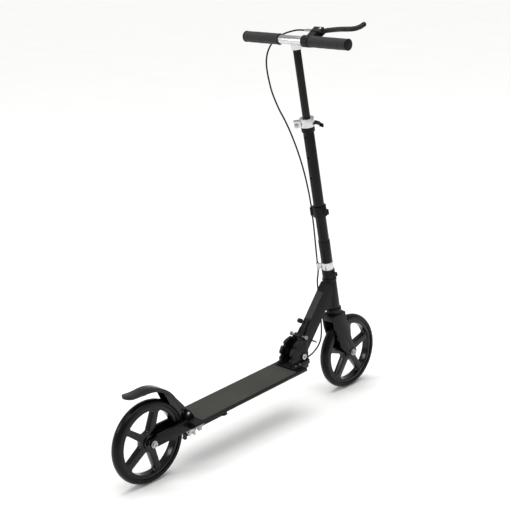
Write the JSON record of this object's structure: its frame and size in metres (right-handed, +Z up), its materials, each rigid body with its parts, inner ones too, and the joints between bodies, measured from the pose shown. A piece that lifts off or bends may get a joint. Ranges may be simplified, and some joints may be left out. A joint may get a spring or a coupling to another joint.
{
  "type": "kick scooter",
  "caption": "Folding kick scooter with large wheels, T-bar on a telescopic stem, hand brake lever, foot brake fender and folding neck.",
  "frame": {"origin": "on the ground, midway between the two axles", "axes": "X forward, Y to the rider's left, Z up"},
  "size_m": [1.034, 0.378, 1.1354],
  "materials": {
    "deck_paint": "satin black powder coat on the extruded deck",
    "frame_paint": "satin black powder coat",
    "tube_paint": "black powder coat on the lower tube",
    "upper_paint": "satin black coating on the sliding tube",
    "lever_paint": "dark grey cast lever",
    "silver": "bright polished",
    "steel": "machined",
    "zinc": "zinc plated",
    "plastic": "moulded, fine grain",
    "gloss_plastic": "moulded, glossy",
    "grey_plastic": "moulded dark grey",
    "rim_plastic": "cast wheel body, glossy black",
    "tyre": "smooth cast polyurethane",
    "rubber": "ribbed pad",
    "foam": "closed-cell foam, fine pores",
    "grip_tape": "gritted anti-slip sheet",
    "cable": "smooth cable housing"
  },
  "bodies": {
    "deck": {"deck_board": "deck_paint", "deck_plugs": "plastic", "grip_tape": "grip_tape", "arms": "frame_paint", "deck_screws": "steel", "rear_axle": "zinc", "rear_sleeve": "steel", "bracket_base": "frame_paint", "cheeks": "frame_paint", "pivot_bolt": "zinc", "fender_base": "plastic", "deck_pins": "zinc", "caliper_bracket": "zinc", "stand_bracket": "zinc", "cable_deck": "cable", "brake_wire": "steel"},
    "neck": {"neck_frame": "frame_paint", "neck_pad": "rubber", "lock_rail": "plastic", "head_cups": "frame_paint", "head_bearings": "steel", "cable_turn": "cable", "cable_fold": "cable", "cable_clip": "plastic"},
    "lock": {"lock_slide": "grey_plastic", "lock_pin": "steel"},
    "plunger": {"pull_pin": "zinc"},
    "steering": {"fork_crown": "frame_paint", "fork_legs": "frame_paint", "steerer_tube": "steel", "front_axle": "zinc", "front_sleeve": "steel", "stem_sleeve": "tube_paint", "lower_tube": "tube_paint", "clamp_collar": "frame_paint", "cable_guide": "silver", "stem_clip": "plastic", "tube_collar": "plastic", "qr_collar": "silver", "qr_bolt": "zinc", "cable_stem": "cable"},
    "quick_release": {"qr_lever": "plastic"},
    "handlebar": {"upper_tube": "upper_paint", "t_bar": "silver", "grips": "foam", "bar_plugs": "plastic", "lever_clamp": "grey_plastic", "adjuster": "silver", "lever_pin": "zinc", "cable_upper": "cable"},
    "hand_brake": {"brake_lever": "lever_paint"},
    "front_wheel": {"front_rim": "rim_plastic", "front_tyre": "tyre", "front_bearings": "steel"},
    "rear_wheel": {"rear_rim": "rim_plastic", "rear_tyre": "tyre", "rear_bearings": "steel"},
    "foot_brake": {"fender": "gloss_plastic", "fender_skirts": "gloss_plastic"},
    "shoe": {"brake_shoe": "lever_paint"},
    "stand": {"kickstand": "frame_paint"}
  },
  "joints": [
    {"name": "stem_fold", "type": "hinge", "parent": "deck", "child": "neck", "pos_m": [0.17632, 0, 0.17322], "axis": [0, -1, 0], "range_deg": [0, 86], "deforming": ["cable_fold"]},
    {"name": "lock_travel", "type": "slide", "parent": "neck", "child": "lock", "axis": [-0.6372, 0, -0.7707], "range_m": [0, 0.01]},
    {"name": "plunger_pull", "type": "slide", "parent": "neck", "child": "plunger", "axis": [0.7707, 0, -0.6372], "range_m": [0, 0.006], "stiffness_N_per_m": 800, "springref_m": -0.004},
    {"name": "steer_turn", "type": "hinge", "parent": "neck", "child": "steering", "pos_m": [0.36985, 0, 0.10962], "axis": [-0.165, 0, 0.9863], "range_deg": [-50, 50], "deforming": ["cable_turn"]},
    {"name": "quick_release_open", "type": "hinge", "parent": "steering", "child": "quick_release", "pos_m": [0.23583, 0.03331, 0.84661], "axis": [-0.165, 0, 0.9863], "range_deg": [0, 90]},
    {"name": "height_slide", "type": "slide", "parent": "steering", "child": "handlebar", "axis": [0.165, 0, -0.9863], "range_m": [0, 0.122], "deforming": ["cable_upper"]},
    {"name": "brake_squeeze", "type": "hinge", "parent": "handlebar", "child": "hand_brake", "pos_m": [0.24641, -0.059, 1.10742], "axis": [0.5075, 0, -0.8616], "range_deg": [0, 20], "stiffness_Nm_per_rad": 1, "springref_deg": -20.05},
    {"name": "front_roll", "type": "hinge", "parent": "steering", "child": "front_wheel", "pos_m": [0.402, 0, 0.115], "axis": [0, 1, 0], "continuous": true},
    {"name": "rear_roll", "type": "hinge", "parent": "deck", "child": "rear_wheel", "pos_m": [-0.402, 0, 0.115], "axis": [0, 1, 0], "continuous": true},
    {"name": "foot_brake_press", "type": "hinge", "parent": "deck", "child": "foot_brake", "pos_m": [-0.27223, 0, 0.15255], "axis": [0, -1, 0], "range_deg": [0, 4], "stiffness_Nm_per_rad": 40, "springref_deg": -1.15},
    {"name": "shoe_press", "type": "hinge", "parent": "deck", "child": "shoe", "pos_m": [-0.2742, 0, 0.09445], "axis": [0, -1, 0], "range_deg": [0, 8], "stiffness_Nm_per_rad": 0.5, "springref_deg": -11.46},
    {"name": "stand_swing", "type": "hinge", "parent": "deck", "child": "stand", "pos_m": [-0.25167, -0.0315, 0.10814], "axis": [0.0108, 0.9511, -0.3088], "range_deg": [0, 93]}
  ],
  "couplings": [
    {"joint": "shoe_press", "follows": "brake_squeeze", "ratio": 0.4}
  ]
}
